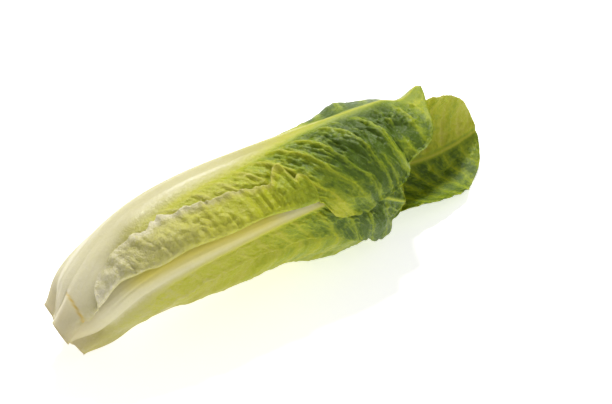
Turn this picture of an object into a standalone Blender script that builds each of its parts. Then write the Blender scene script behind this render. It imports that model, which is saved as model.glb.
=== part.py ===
"""A romaine lettuce head, cut at the butt and lying on its side.

The head is a short solid core with thirteen leaves packed round it. The leaves are made from the
innermost outwards. Each one is a thin sheet wrapped over everything that is already inside it, so
neighbours lie close together and never cross. Places on the head are given by three numbers:
the station (millimetres along the curved axis from the cut butt), the bearing (degrees round the
axis, 0 at the top and growing towards -Y) and the radius (millimetres from the axis).
The frame is +X from the butt to the leaf tips and +Z up, with the floor at z = 0.
"""
from dataclasses import dataclass

import bpy
import numpy as np
from mathutils import Matrix

MM = 0.001

# Driving dimensions, in millimetres and degrees
AXIS_KNOTS = (
    (0.0, -2.5, 14.6),
    (12.0, -1.3, 21.4),
    (30.0, 0.6, 29.2),
    (50.0, 1.8, 33.4),
    (85.0, 3.0, 35.5),
    (130.0, 3.2, 35.5),
    (180.0, 2.4, 35.9),
    (225.0, 1.0, 34.6),
    (270.0, -0.5, 32.0),
)
GIRTH = ((0.0, 9.6), (12.0, 13.6), (25.0, 17.6), (38.0, 22.0), (52.0, 26.0), (84.0, 30.2), (126.0, 31.8),
         (175.0, 32.6), (207.0, 32.8), (235.0, 32.4), (262.0, 31.5), (275.0, 30.5), (292.0, 29.0))
CORE_RADIUS = 6.2
CORE_LENGTH = 50.0
CORE_TIP_RADIUS = 2.2
CORE_SIDES = 20
BLADE_THICKNESS = 0.75
CLEARANCE = 0.6
CORE_CLEARANCE = 0.4
CUT_TILT = 0.26
CUT_BEARING = 150.0
CUT_REACH = 22.0

# The grid that holds the radius of what is already packed
STATION_STEP = 1.5
STATIONS = 202
BEARING_STEP = 2.0
BEARINGS = 180
SPREAD_CELLS = 2
MIN_GAP = 0.35

# Margins sit this share of the radius nearer the axis than the rib, at this distance round the head
MARGIN_DROP = 0.1
WIDE = 45.0

# Share by which the margins' distance from the rib waves in and out
EDGE_WAVE = 0.045

# Where the columns of a folded half-blade reach the fold and leave it, as shares of the half-blade
FOLD_AT = 0.5
TURN_AT = 0.75

# Length of turned-back sheet at which the fold is a full half circle, and the least sheet past a fold line
FULL_TURN = 4.0
LEAST_PAST = 3.2

# Share of the side veins' relief that is taken away where a turned-back margin lies over the blade
UNDER_FLAP_CALM = 0.75


@dataclass
class Leaf:
    """One leaf: where it grows, its outline, its rib and its relief, in millimetres and degrees."""
    name: str
    root: float
    length: float
    bearing: tuple
    loft: float
    near: tuple
    far: tuple
    tip_start: float
    tip_power: float
    rib_half: tuple
    rib_depth: tuple
    veins: int
    vein_depth: float
    ruffle: float
    ruffle_pitch: float
    seed: int
    columns: int
    colour: tuple
    slant: float = 0.14
    bulges: tuple = ()
    fold: tuple = ()
    creases: tuple = ()


def smooth_curve(knots, x):
    """A curve through (x, value) knots with no overshoot: cubic Hermite pieces with limited slopes."""
    kx, ky = np.array(knots, float).T
    step = np.diff(kx)
    rise = np.diff(ky) / step
    slope = np.concatenate([[rise[0]], (rise[:-1] + rise[1:]) / 2, [rise[-1]]])
    for i, r in enumerate(rise):
        limit = 3.0 * abs(r)
        slope[i] = np.clip(slope[i], -limit, limit)
        slope[i + 1] = np.clip(slope[i + 1], -limit, limit)
    x = np.clip(np.asarray(x, float), kx[0], kx[-1])
    i = np.clip(np.searchsorted(kx, x, side="right") - 1, 0, len(step) - 1)
    t = (x - kx[i]) / step[i]
    h = step[i]
    return (ky[i] * (1 + 2 * t) * (1 - t) ** 2 + ky[i + 1] * t * t * (3 - 2 * t)
            + slope[i] * h * t * (1 - t) ** 2 - slope[i + 1] * h * t * t * (1 - t))


def smoothstep(low, high, x):
    t = np.clip((np.asarray(x, float) - low) / (high - low), 0.0, 1.0)
    return t * t * (3 - 2 * t)


def wobble(x, seed, pitch):
    """A smooth wandering value from -1 to 1: three sines with seeded phases, the first of this pitch."""
    draw = np.random.default_rng(seed)
    total = 0.0
    for share, ratio in ((0.55, 1.0), (0.3, 1.73), (0.15, 2.61)):
        total = total + share * np.sin(2 * np.pi * x * ratio / pitch + draw.uniform(0, 2 * np.pi))
    return total


def axis_table():
    """The head's axis as a dense table: arc length, points, and unit tangent, up and side vectors."""
    knots = np.array(AXIS_KNOTS)
    x = np.linspace(knots[0, 0], knots[-1, 0] + 25.0, 900)
    y = smooth_curve(knots[:, [0, 1]], x)
    z = smooth_curve(knots[:, [0, 2]], x)
    soft = np.hanning(61) / np.hanning(61).sum()
    pad = len(soft) // 2
    rows = []
    for value in (y, z):
        ends = np.concatenate([value[0] - (value[pad:0:-1] - value[0]), value, np.full(pad, value[-1])])
        rows.append(np.convolve(ends, soft, "valid"))
    points = np.stack([x, *rows], 1)
    length = np.concatenate([[0.0], np.cumsum(np.linalg.norm(np.diff(points, axis=0), axis=1))])
    tangent = np.gradient(points, length, axis=0)
    tangent /= np.linalg.norm(tangent, axis=1)[:, None]
    up = np.array([0.0, 0.0, 1.0]) - tangent * tangent[:, 2:3]
    up /= np.linalg.norm(up, axis=1)[:, None]
    return length, points, tangent, up, np.cross(up, tangent)


AXIS = axis_table()


def along_axis(values, station):
    return np.stack([np.interp(station, AXIS[0], values[:, k]) for k in range(3)], -1)


def place(station, bearing, radius):
    """World points, in millimetres, from station, bearing in degrees and radius."""
    angle = np.radians(bearing)
    before = np.minimum(station, 0.0)[..., None]
    return (along_axis(AXIS[1], station) + before * along_axis(AXIS[2], station)
            + radius[..., None] * (np.cos(angle)[..., None] * along_axis(AXIS[3], station)
                                   - np.sin(angle)[..., None] * along_axis(AXIS[4], station)))


def head_coordinates(points):
    """Station, bearing in degrees and radius of world points: the reverse of place()."""
    station = points[..., 0].copy()
    for _ in range(5):
        along = along_axis(AXIS[2], station)
        base = along_axis(AXIS[1], station) + np.minimum(station, 0.0)[..., None] * along
        station = station + ((points - base) * along).sum(-1)
    offset = points - base
    up = (offset * along_axis(AXIS[3], station)).sum(-1)
    sideways = (offset * along_axis(AXIS[4], station)).sum(-1)
    return station, np.degrees(np.arctan2(-sideways, up)), np.hypot(up, sideways)


def girth(station):
    return smooth_curve(GIRTH, station)


def cut_station(bearing, radius):
    """How far the slanting cut through the butt lies from station 0 at this place."""
    return -CUT_TILT * radius * np.cos(np.radians(bearing - CUT_BEARING))


def widest(grid, cells):
    """The largest value within this many cells each way, round the head and along it."""
    best = grid.copy()
    for k in range(-cells, cells + 1):
        best = np.maximum(best, np.roll(grid, k, axis=1))
    padded = np.pad(best, ((cells, cells), (0, 0)), "edge")
    return np.max([padded[k:k + len(grid)] for k in range(2 * cells + 1)], axis=0)


def averaged(grid):
    """Each value shared with its neighbours, round the head and along it."""
    round_it = (np.roll(grid, 1, 1) + 2 * grid + np.roll(grid, -1, 1)) / 4
    padded = np.pad(round_it, ((1, 1), (0, 0)), "edge")
    return (padded[:-2] + 2 * padded[1:-1] + padded[2:]) / 4


def read_grid(grid, station, bearing):
    """The grid's value at any place, by a cubic B-spline, so that the surface has no creases."""
    a = np.clip(np.asarray(station) / STATION_STEP, 0, STATIONS - 1.001)
    b = np.asarray(bearing) / BEARING_STEP
    i, j = np.floor(a).astype(int), np.floor(b).astype(int)
    weights = []
    for t in (a - i, b - j):
        weights.append(((1 - t) ** 3 / 6, (3 * t ** 3 - 6 * t ** 2 + 4) / 6,
                        (-3 * t ** 3 + 3 * t ** 2 + 3 * t + 1) / 6, t ** 3 / 6))
    total = 0.0
    for m in range(4):
        row = np.clip(i + m - 1, 0, STATIONS - 1)
        for n in range(4):
            total = total + weights[0][m] * weights[1][n] * grid[row, (j + n - 1) % BEARINGS]
    return total


class Packing:
    """The radius that is already filled, for each station and bearing."""

    def __init__(self):
        station = np.arange(STATIONS) * STATION_STEP
        self.filled = np.repeat(core_radius(station)[:, None], BEARINGS, axis=1)

    def cover(self, clearance):
        """A smooth surface that clears all that is packed."""
        return averaged(widest(self.filled, SPREAD_CELLS)) + clearance

    def cells(self, points):
        station, bearing, radius = head_coordinates(points)
        row = np.clip(np.round(station / STATION_STEP).astype(int), 0, STATIONS - 1)
        return row, np.round(bearing / BEARING_STEP).astype(int) % BEARINGS, radius

    def add(self, points):
        row, column, radius = self.cells(points)
        np.maximum.at(self.filled, (row, column), radius)

    def lacking(self, points):
        """How far each point would have to move outwards to stand clear of what is packed."""
        row, column, radius = self.cells(points)
        return widest(self.filled, 1)[row, column] + MIN_GAP - radius


def core_radius(station):
    """The core narrows in a quarter-ellipse from the butt to its blunt growing tip."""
    share = np.clip(station / CORE_LENGTH, 0.0, 1.0)
    return np.where(station > CORE_LENGTH, 0.0,
                    CORE_TIP_RADIUS + (CORE_RADIUS - CORE_TIP_RADIUS) * np.sqrt(1 - share ** 2))


def half_width(leaf, q, side):
    """Distance from the midrib to the margin,
    measured round the head. It closes at the tip in a superellipse."""
    width = np.where(side > 0, smooth_curve(leaf.near, q), smooth_curve(leaf.far, q))
    share = np.clip((q - leaf.tip_start) / (1 - leaf.tip_start), 0.0, 1.0)
    closing = np.maximum(1 - share ** leaf.tip_power, 0.0) ** (1 / leaf.tip_power)
    depth = np.where((side > 0) & bool(leaf.fold), 0.0, EDGE_WAVE) * smoothstep(0.25, 0.45, q)
    waves = 1 + depth * wobble(q * leaf.length + 40.0 * side, leaf.seed + 7, 34.0)
    return np.maximum(width * closing * waves, 1.2)


def folded_arc(leaf, q, share, width):
    """Where a half-blade's columns lie when its margin is turned back outwards over the blade.

    Up to the fold line the columns are even. Past it the sheet runs round a half circle and lies back.
    Gives the place round the head, the height above the blade, the length of sheet from the midrib and
    the angle by which the sheet has turned."""
    line, flap, radius = leaf.fold
    back = smooth_curve(flap, q)
    turn = np.pi * smoothstep(0.0, FULL_TURN, back)
    start = np.minimum(smooth_curve(line, q), np.where(back > 0.01, 1e3, 0.94 * width))
    beyond = np.where(back > 0.01, np.maximum(radius * turn + back, LEAST_PAST), width - start)
    flat = beyond * np.clip((share - FOLD_AT) / (1 - FOLD_AT), 0.0, 1.0)
    arc_part = np.minimum(radius * np.pi, 0.7 * beyond)
    round_it = arc_part * np.clip((share - FOLD_AT) / (TURN_AT - FOLD_AT), 0.0, 1.0)
    round_it = round_it + (beyond - arc_part) * np.clip((share - TURN_AT) / (1 - TURN_AT), 0.0, 1.0)
    past = flat + (round_it - flat) * turn / np.pi
    before = start * np.minimum(share / FOLD_AT, 1.0)
    angle = np.minimum(past / radius, turn)
    rest = np.maximum(past - radius * turn, 0.0)
    sideways = radius * np.sin(angle) + rest * np.cos(turn)
    height = radius * (1 - np.cos(angle)) + rest * np.sin(turn)
    return before + sideways, height, before + past, angle


def row_reach(leaf, u, q):
    """How far along the leaf a row has got: rows bend forwards away from the midrib, as side veins do."""
    across = np.minimum(np.abs(u), np.where((u > 0) & bool(leaf.fold), FOLD_AT, 1.0))
    return np.clip(q + leaf.slant * across ** 1.3 * smoothstep(0.03, 0.35, q) * smoothstep(1.0, 0.5, q),
                   0.0, 1.0)


def bulge_height(leaf, station, bearing):
    """The leaf's broad swellings, each a bell given by station, bearing, their two spreads and a height."""
    total = np.zeros_like(station)
    for s, b, along, around, height in leaf.bulges:
        turn = (bearing - b + 180.0) % 360.0 - 180.0
        total = total + height * np.exp(-((station - s) / along) ** 2 - (turn / around) ** 2)
    return total


def sheet(leaf, cover, u, q):
    """Station, bearing, inner radius, thickness, hold of the cut and turn of a fold,
    at u (-1 to 1) and q (0 to 1)."""
    side = np.where(u >= 0, 1.0, -1.0)
    across = np.abs(u)
    reach = row_reach(leaf, u, q)
    station = leaf.root + leaf.length * reach
    width = half_width(leaf, reach, side)
    arc, lift, from_mid, turned = width * across, np.zeros_like(u), width * across, np.zeros_like(u)
    open_blade = 1.0
    if leaf.fold:
        bent = folded_arc(leaf, reach, across, width)
        covered = np.where(side > 0, smoothstep(0.0, 3.0, smooth_curve(leaf.fold[1], reach)), 0.0)
        open_blade = 1 - UNDER_FLAP_CALM * covered
        plain = (arc, lift, from_mid, turned)
        arc, lift, from_mid, turned = (np.where(side > 0, new, old) for new, old in zip(bent, plain))
    around = girth(station) * leaf.loft
    bearing = smooth_curve(leaf.bearing, station) + np.degrees(side * arc / around)
    under = read_grid(cover, station, bearing)
    gap = around * (1 - MARGIN_DROP * (arc / WIDE).clip(0, 1) ** 2) - under
    loft = 0.5 * (gap + np.sqrt(gap ** 2 + 1.0))
    phase = q * leaf.veins + np.where(side > 0, 0.0, 0.5)
    ridge = (0.5 + 0.5 * np.cos(2 * np.pi * phase)) ** 1.3
    rib = smooth_curve(leaf.rib_half, reach)
    flat = smoothstep(0.0, 9.0, from_mid - rib)
    relief = leaf.vein_depth * open_blade * ridge * flat * smoothstep(1.02, 0.55, across)
    wave = 0.5 + 0.5 * wobble(station, leaf.seed + 20 + (u > 0) * 3, leaf.ruffle_pitch)
    relief = relief + leaf.ruffle * across ** 2.5 * wave * smoothstep(0.12, 0.35,
                                                                      reach) * smoothstep(2.0, 24.0, width)
    radius = under + loft + relief + lift + bulge_height(leaf, station, bearing)
    depth = smooth_curve(leaf.rib_depth, reach)
    dome = np.clip(1 - (from_mid / rib) ** 2, 0.0, None) ** 0.8
    thickness = BLADE_THICKNESS + np.maximum(depth - BLADE_THICKNESS, 0.0) * dome
    at_butt = smoothstep(CUT_REACH, 0.0, station) * (leaf.root < 1.0)
    return station, bearing, radius, thickness, at_butt, turned


def leaf_faces(leaf, cover, u, q, raised):
    """The inner and outer faces of the leaf, as two grids of points."""
    station, bearing, radius, thickness, at_butt, turned = sheet(leaf, cover, u, q)
    radius = radius + raised
    cut = cut_station(bearing, radius)
    inner = place(station + cut * at_butt, bearing, radius)
    normal = np.cross(np.gradient(inner, axis=1), np.gradient(inner, axis=0))
    normal /= np.linalg.norm(normal, axis=-1)[..., None]
    outward = place(station, bearing, radius + 1.0) - place(station, bearing, radius)
    round_it = place(station, bearing + 0.5, radius) - place(station, bearing - 0.5, radius)
    round_it /= np.linalg.norm(round_it, axis=-1)[..., None]
    outward = np.cos(turned)[..., None] * outward - np.sin(turned)[..., None] * round_it
    plainly = np.maximum(smoothstep(0.9, 0.95, (station - leaf.root) / leaf.length), smoothstep(0.0, 0.3,
                                                                                                turned))
    normal = normal + (outward - normal) * plainly[..., None]
    normal /= np.linalg.norm(normal, axis=-1)[..., None]
    slide = (cut_station(bearing, radius + thickness) - cut) * at_butt
    outer = inner + normal * thickness[..., None] + slide[..., None] * along_axis(AXIS[2], station)
    outer[..., 2] = np.maximum(outer[..., 2], 0.0)
    return inner, outer


def rows_of(leaf):
    """Row places from root to tip: on the side veins and between them, closer at the tip and at creases."""
    even = np.arange(0, leaf.veins * 2 + 1) / (leaf.veins * 2)
    body = even[even < 0.87]
    fine = np.linspace(0, 1, 2001)
    extra = np.interp(leaf.creases, row_reach(leaf, np.full(2001, FOLD_AT), fine),
                      fine) if leaf.creases else []
    body = np.array([q for q in body if all(abs(q - e) > 0.012 for e in extra)])
    ends = body[-1] + (1 - body[-1]) * np.sin(np.linspace(0, np.pi / 2, 6))[1:]
    return np.sort(np.concatenate([body, extra, ends]))


def columns_of(leaf):
    """Column places from one margin to the other, closer together over the rib and round a fold."""
    far = -np.linspace(1, 0, leaf.columns // 2 + 1) ** 1.15
    if not leaf.fold:
        return np.concatenate([far, -far[-2::-1]])
    blade = FOLD_AT * np.linspace(0, 1, 7)[1:]
    turn = FOLD_AT + (TURN_AT - FOLD_AT) * np.linspace(0, 1, 5)[1:]
    return np.concatenate([far, blade, turn, TURN_AT + (1 - TURN_AT) * np.linspace(0, 1, 4)[1:]])


def spots(grid, fineness):
    """Points spread over a grid's triangles, as an array of quads by points."""
    a, b, c, d = grid[:-1, :-1], grid[:-1, 1:], grid[1:, 1:], grid[1:, :-1]
    x, y = np.meshgrid(np.linspace(0, 1, fineness), np.linspace(0, 1, fineness))
    x, y = x.reshape(-1, 1), y.reshape(-1, 1)
    low = np.where(x >= y, x - y, y - x)
    corner = np.where(x >= y, b[..., None, :], d[..., None, :])
    return a[..., None, :] * (1 - np.maximum(x, y)) + corner * low + c[..., None, :] * np.minimum(x, y)


def closed_mesh(name, inner, outer):
    """A closed sheet from two grids. Both faces are split along the same diagonals."""
    rows, columns = inner.shape[:2]
    count = rows * columns
    index = np.arange(count).reshape(rows, columns)
    a, b = index[:-1, :-1].ravel(), index[:-1, 1:].ravel()
    c, d = index[1:, 1:].ravel(), index[1:, :-1].ravel()
    front = np.concatenate([np.stack([a, b, c], 1), np.stack([a, c, d], 1)]) + count
    back = np.concatenate([np.stack([a, c, b], 1), np.stack([a, d, c], 1)])
    border = np.concatenate([index[0, :-1], index[:-1, -1], index[-1, :0:-1], index[:0:-1, 0]])
    following = np.roll(border, -1)
    rim = np.concatenate([np.stack([border, following, following + count], 1),
                          np.stack([border, following + count, border + count], 1)])
    faces = np.concatenate([front, back, rim])
    points = np.concatenate([inner.reshape(-1, 3), outer.reshape(-1, 3)]) * MM
    mesh = bpy.data.meshes.new(name)
    mesh.from_pydata(points.tolist(), [], faces.tolist())
    mesh.validate()
    return mesh


def finish(name, rgb, roughness):
    """A Principled material of this colour."""
    material = bpy.data.materials.new(name)
    material.use_nodes = True
    shader = material.node_tree.nodes["Principled BSDF"]
    shader.inputs["Base Color"].default_value = (*rgb, 1.0)
    shader.inputs["Roughness"].default_value = roughness
    return material


def add_object(mesh, material):
    part = bpy.data.objects.new(mesh.name, mesh)
    part.data.materials.append(material)
    bpy.context.scene.collection.objects.link(part)
    return part


def grow(leaf, packing):
    """Makes one leaf over what is packed, moves out any triangle that comes too near, and packs it."""
    cover = packing.cover(CLEARANCE)
    u, q = np.meshgrid(columns_of(leaf), rows_of(leaf))
    raised = np.zeros_like(u)
    for _ in range(6):
        inner, outer = leaf_faces(leaf, cover, u, q, raised)
        lacking = packing.lacking(spots(inner, 7)).max(-1).clip(0.0, None)
        if lacking.max() < 0.02:
            break
        push = np.zeros_like(u)
        for rows in (slice(0, -1), slice(1, None)):
            for columns in (slice(0, -1), slice(1, None)):
                push[rows, columns] = np.maximum(push[rows, columns], lacking)
        raised = raised + push
        for _ in range(3):
            edged = np.pad(raised, ((0, 0), (1, 1)), "edge")
            raised = np.maximum(raised, (edged[:, :-2] + edged[:, 2:]) / 2)
    packing.add(spots(outer, 11))
    mesh = closed_mesh(leaf.name, inner, outer)
    mesh.shade_smooth()
    return add_object(mesh, finish(leaf.name + "_blade", leaf.colour, 0.45))


def make_core():
    """The solid core, a turned shape with a cut face that slants as the leaf bases do."""
    station = CORE_LENGTH * np.sin(np.linspace(0, np.pi / 2, 7))
    bearing = np.linspace(0, 360, CORE_SIDES, endpoint=False)
    at_butt = smoothstep(CUT_REACH, 0.0, station)[:, None]
    radius = np.repeat(core_radius(station)[:, None] - CORE_CLEARANCE, CORE_SIDES, axis=1)
    cut = cut_station(bearing[None, :], radius) * at_butt
    rings = place(station[:, None] + cut, np.repeat(bearing[None, :], len(station), 0), radius)
    rows = len(station)
    points = np.concatenate([rings.reshape(-1, 3), rings[0].mean(0)[None], rings[-1].mean(0)[None]]) * MM
    faces = []
    for i in range(rows - 1):
        for j in range(CORE_SIDES):
            k = (j + 1) % CORE_SIDES
            a, b = i * CORE_SIDES + j, i * CORE_SIDES + k
            c, d = a + CORE_SIDES, b + CORE_SIDES
            faces += [(a, b, d), (a, d, c)]
    butt, tip = len(points) - 2, len(points) - 1
    last = (rows - 1) * CORE_SIDES
    for j in range(CORE_SIDES):
        k = (j + 1) % CORE_SIDES
        faces += [(butt, k, j), (tip, last + j, last + k)]
    mesh = bpy.data.meshes.new("core")
    mesh.from_pydata(points.tolist(), [], faces)
    return add_object(mesh, finish("core_pith", CREAM, 0.55))


CREAM = (0.80, 0.78, 0.58)
HEART = (0.74, 0.72, 0.26)
PALE = (0.55, 0.60, 0.16)
GREEN = (0.25, 0.38, 0.06)

INNER_RIB = ((0.0, 6.0), (0.25, 6.5), (0.6, 3.5), (1.0, 0.8))
INNER_DEPTH = ((0.0, 1.4), (0.3, 2.4), (0.7, 1.4), (1.0, 0.8))
MIDDLE_RIB = ((0.0, 10.0), (0.25, 9.5), (0.6, 5.0), (1.0, 1.0))
MIDDLE_DEPTH = ((0.0, 1.6), (0.3, 3.2), (0.7, 1.8), (1.0, 0.8))
OUTER_RIB = ((0.0, 12.5), (0.12, 16.0), (0.28, 13.0), (0.6, 6.5), (0.85, 3.0), (1.0, 1.0))
UNDER_RIB = ((0.0, 12.5), (0.12, 16.0), (0.28, 14.5), (0.65, 12.0), (0.86, 6.0), (1.0, 1.0))
UNDER_DEPTH = ((0.0, 2.8), (0.15, 4.6), (0.35, 6.1), (0.68, 6.3), (0.86, 3.4), (1.0, 0.9))
OUTER_DEPTH = ((0.0, 2.8), (0.12, 4.2), (0.35, 4.4), (0.7, 2.4), (1.0, 0.9))


def plain_outline(width):
    """Half of a leaf: a narrow base and the widest place two thirds of the way up."""
    return ((0.0, 0.30 * width), (0.15, 0.42 * width), (0.4, 0.80 * width), (0.66, width),
            (0.85, 0.97 * width), (1.0, 0.9 * width))


def small_leaf(name, root, length, bearing, loft, width, veins, seed, columns, colour):
    return Leaf(name=name, root=root, length=length, bearing=((0.0, bearing), (270.0, bearing + 8.0)),
                loft=loft, near=plain_outline(width), far=plain_outline(width * 0.94), tip_start=0.8,
                tip_power=2.4,
                rib_half=INNER_RIB if width < 30 else MIDDLE_RIB,
                rib_depth=INNER_DEPTH if width < 30 else MIDDLE_DEPTH,
                veins=veins, vein_depth=0.5, ruffle=1.0, ruffle_pitch=22.0, seed=seed, columns=columns,
                colour=colour)


LEAVES = (
    small_leaf("heart_leaf_1", 44.0, 84.0, 40.0, 0.16, 13.0, 5, 1, 8, HEART),
    small_leaf("heart_leaf_2", 41.0, 102.0, 178.0, 0.28, 22.0, 5, 2, 8, HEART),
    small_leaf("inner_leaf_1", 38.0, 118.0, 315.0, 0.40, 29.0, 5, 3, 8, HEART),
    small_leaf("inner_leaf_2", 35.0, 132.0, 93.0, 0.50, 36.0, 5, 4, 8, HEART),
    small_leaf("inner_leaf_3", 32.0, 144.0, 231.0, 0.59, 41.0, 5, 5, 8, PALE),
    small_leaf("middle_leaf_1", 28.0, 166.0, 18.0, 0.67, 45.0, 6, 6, 10, PALE),
    small_leaf("middle_leaf_2", 25.0, 160.0, 122.0, 0.74, 48.0, 6, 7, 10, PALE),
    small_leaf("middle_leaf_3", 22.0, 182.0, 292.0, 0.80, 50.0, 6, 8, 10, PALE),
    small_leaf("middle_leaf_4", 18.0, 176.0, 206.0, 0.85, 50.0, 6, 9, 10, PALE),
    Leaf(name="far_leaf", root=0.0, length=288.0,
         bearing=((0.0, 252.0), (90.0, 236.0), (200.0, 222.0), (250.0, 222.0), (270.0, 226.0),
                  (290.0, 234.0)), loft=0.92,
         near=((0.0, 7.0), (0.15, 18.0), (0.4, 34.0), (0.66, 44.0), (0.85, 46.0), (1.0, 42.0)),
         far=((0.0, 7.0), (0.15, 18.0), (0.4, 34.0), (0.66, 42.0), (0.85, 42.0), (1.0, 40.0)),
         tip_start=0.80, tip_power=2.1, bulges=((262.0, 222.0, 40.0, 100.0, 3.0),), rib_half=OUTER_RIB,
         rib_depth=OUTER_DEPTH, veins=11, vein_depth=1.7,
         ruffle=2.2, ruffle_pitch=30.0, seed=10, columns=14, colour=GREEN),
    Leaf(name="under_leaf", root=0.0, length=196.0, bearing=((0.0, 172.0), (70.0, 180.0),
                                                             (150.0, 180.0), (262.0, 176.0)), loft=0.95,
         near=((0.0, 8.0), (0.15, 18.0), (0.4, 34.0), (0.66, 42.0), (0.85, 42.0), (1.0, 40.0)),
         far=((0.0, 8.0), (0.15, 20.0), (0.3, 44.0), (0.5, 54.0), (0.75, 52.0), (0.85, 42.0), (1.0, 38.0)),
         tip_start=0.84, tip_power=2.4, rib_half=UNDER_RIB, rib_depth=UNDER_DEPTH, veins=9, vein_depth=0.9,
         ruffle=1.0, ruffle_pitch=30.0, seed=11, columns=14, colour=PALE),
    Leaf(name="front_leaf", root=0.0, length=199.0,
         bearing=((0.0, 80.0), (20.0, 70.0), (45.0, 61.0), (84.0, 58.0), (133.0, 57.0), (165.0, 62.0),
                  (199.0, 92.0)), loft=0.96,
         near=((0.0, 9.0), (0.1, 17.0), (0.22, 21.0), (0.32, 20.0), (0.48, 18.0), (0.65, 19.0),
               (0.75, 21.0), (0.88, 29.0), (0.95, 31.0), (1.0, 29.0)),
         far=((0.0, 8.0), (0.2, 16.0), (0.4, 34.0), (0.66, 44.0), (0.85, 42.0), (1.0, 30.0)),
         tip_start=0.88, tip_power=3.2, rib_half=((0.0, 7.0), (0.1, 9.0), (0.22, 9.6), (0.42, 7.5),
                                                  (0.66, 4.6), (0.85, 2.6), (1.0, 1.2)),
         rib_depth=OUTER_DEPTH, veins=9, vein_depth=1.5, ruffle=1.8, ruffle_pitch=26.0, seed=12,
         columns=16, colour=PALE),
    Leaf(name="top_leaf", root=0.0, length=242.0,
         bearing=((0.0, 0.0), (30.0, -10.0), (50.0, -24.0), (100.0, -29.0), (150.0, -30.0),
                  (200.0, -22.0), (222.0, -29.0), (242.0, -38.0)),
         loft=1.0,
         near=((0.0, 12.0), (0.1, 26.0), (0.3, 48.0), (0.58, 50.2), (0.663, 50.2), (0.675, 55.0),
               (0.688, 59.5), (0.7, 61.0),
               (0.75, 57.0), (0.81, 52.0), (0.843, 47.0), (0.88, 43.0), (0.913, 41.0), (0.93, 38.0),
               (0.95, 30.0), (0.963, 20.0), (1.0, 1.5)),
         far=((0.0, 10.0), (0.15, 18.0), (0.4, 38.0), (0.66, 50.0), (0.8, 48.0), (0.9, 38.0),
              (0.96, 22.0), (1.0, 1.5)),
         tip_start=0.999, tip_power=2.0,
         rib_half=((0.0, 11.0), (0.12, 18.0), (0.175, 15.5), (0.26, 15.0), (0.36, 14.0), (0.47, 12.5),
                   (0.6, 10.0), (0.68, 6.5), (0.8, 3.5), (1.0, 1.0)),
         rib_depth=OUTER_DEPTH, veins=12, vein_depth=2.6, ruffle=1.6, ruffle_pitch=24.0, seed=13,
         columns=26, colour=GREEN, slant=0.2,
         bulges=((205.0, -50.0, 24.0, 26.0, 5.0),),
         fold=(((0.0, 10.0), (0.09, 20.0), (0.128, 23.8), (0.186, 29.4), (0.21, 34.0), (0.277, 38.8),
                (0.364, 43.2), (0.463, 43.8),
                (0.558, 46.3), (0.612, 47.0), (0.66, 47.2), (0.7, 50.0), (1.0, 50.0)),
               ((0.0, 0.0), (0.085, 0.0), (0.125, 2.8), (0.165, 7.5), (0.19, 9.5), (0.252, 18.3),
                (0.35, 19.0), (0.41, 18.0), (0.446, 14.2),
                (0.508, 12.5), (0.562, 21.3), (0.58, 18.0), (0.592, 9.5), (0.605, 5.2), (0.62, 3.2),
                (0.66, 0.0), (1.0, 0.0)),
               2.2),
         creases=(0.085, 0.096, 0.105, 0.115, 0.125, 0.562, 0.58, 0.592, 0.605, 0.62, 0.63, 0.643, 0.66,
                  0.672, 0.686)),
)


def centre_on_floor(pieces):
    """Moves every mesh so that the origin is at the middle of the whole head's box, on the floor."""
    corners = np.array([corner for piece in pieces for corner in piece.bound_box])
    middle = (corners.min(0) + corners.max(0)) / 2
    for piece in pieces:
        piece.data.transform(Matrix.Translation((-middle[0], -middle[1], -corners[:, 2].min())))


def main():
    for old in list(bpy.data.objects):
        bpy.data.objects.remove(old)
    packing = Packing()
    pieces = [make_core()]
    for leaf in LEAVES:
        pieces.append(grow(leaf, packing))
    centre_on_floor(pieces)


main()
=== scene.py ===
# %% [markdown]
# # A head of romaine lettuce, lying on its side
# A romaine head is a short white stem with long leaves packed tightly round it. Each leaf has a broad
# pale midrib, side veins that run forwards from it, and a thin blade that swells into blisters
# between the veins. The head could be sculpted by hand, or grown by a formula. Here it is grown:
# every leaf is a thin sheet wrapped over the leaves that are already inside it, as on the plant.

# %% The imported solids
import math
from dataclasses import dataclass
from functools import partialmethod
from types import SimpleNamespace

import bpy
import numpy as np
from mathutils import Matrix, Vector


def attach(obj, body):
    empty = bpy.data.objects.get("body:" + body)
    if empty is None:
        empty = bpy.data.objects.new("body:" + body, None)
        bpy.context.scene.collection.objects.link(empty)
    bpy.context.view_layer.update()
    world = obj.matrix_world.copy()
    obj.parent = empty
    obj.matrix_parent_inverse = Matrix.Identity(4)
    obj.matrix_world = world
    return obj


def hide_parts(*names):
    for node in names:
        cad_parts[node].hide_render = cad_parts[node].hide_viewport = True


MM = 0.001
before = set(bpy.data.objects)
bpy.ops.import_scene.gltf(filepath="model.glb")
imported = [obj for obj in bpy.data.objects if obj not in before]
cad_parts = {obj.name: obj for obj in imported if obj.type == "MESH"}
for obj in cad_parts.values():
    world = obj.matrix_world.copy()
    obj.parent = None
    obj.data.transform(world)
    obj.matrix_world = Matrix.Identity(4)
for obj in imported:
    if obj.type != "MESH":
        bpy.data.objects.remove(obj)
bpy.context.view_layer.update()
print("solids:", ", ".join(sorted(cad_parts)))

# %% [markdown]
# ## Curves and patterns
# Two kinds of formula shape everything: a smooth curve through a few measured knots, and repeatable
# patterns made from seeded draws. A texture node could give such patterns only to the colour. As
# numpy functions they can move the surface too, so that the relief and the colour agree.


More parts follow.
